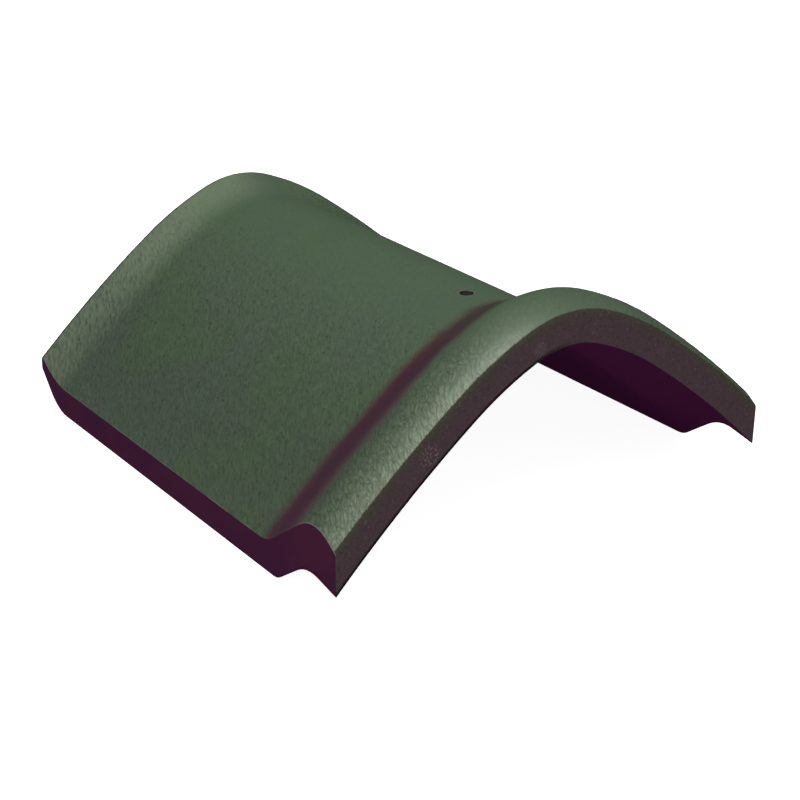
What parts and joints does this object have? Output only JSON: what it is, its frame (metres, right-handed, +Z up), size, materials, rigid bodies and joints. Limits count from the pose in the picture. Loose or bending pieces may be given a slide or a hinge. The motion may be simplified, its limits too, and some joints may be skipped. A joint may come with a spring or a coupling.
{
  "type": "ridge tile",
  "caption": "Arched one-piece roof ridge tile with an upturned tail lip, a raised lapping collar at the head and a screw hole through the ridge.",
  "frame": {"origin": "centre of the tile's footprint, in the plane that its two feet stand on", "axes": "+X along the ridge, from the tail lip to the collar; +Y across the tile; +Z up through the ridge"},
  "size_m": [0.373, 0.33, 0.1539],
  "materials": {
    "tile_body": "leather-grained face coloured green on top, dark maroon on its edges and underside, low sheen"
  },
  "bodies": {
    "root": {"ridge_tile": "tile_body"}
  },
  "joints": []
}
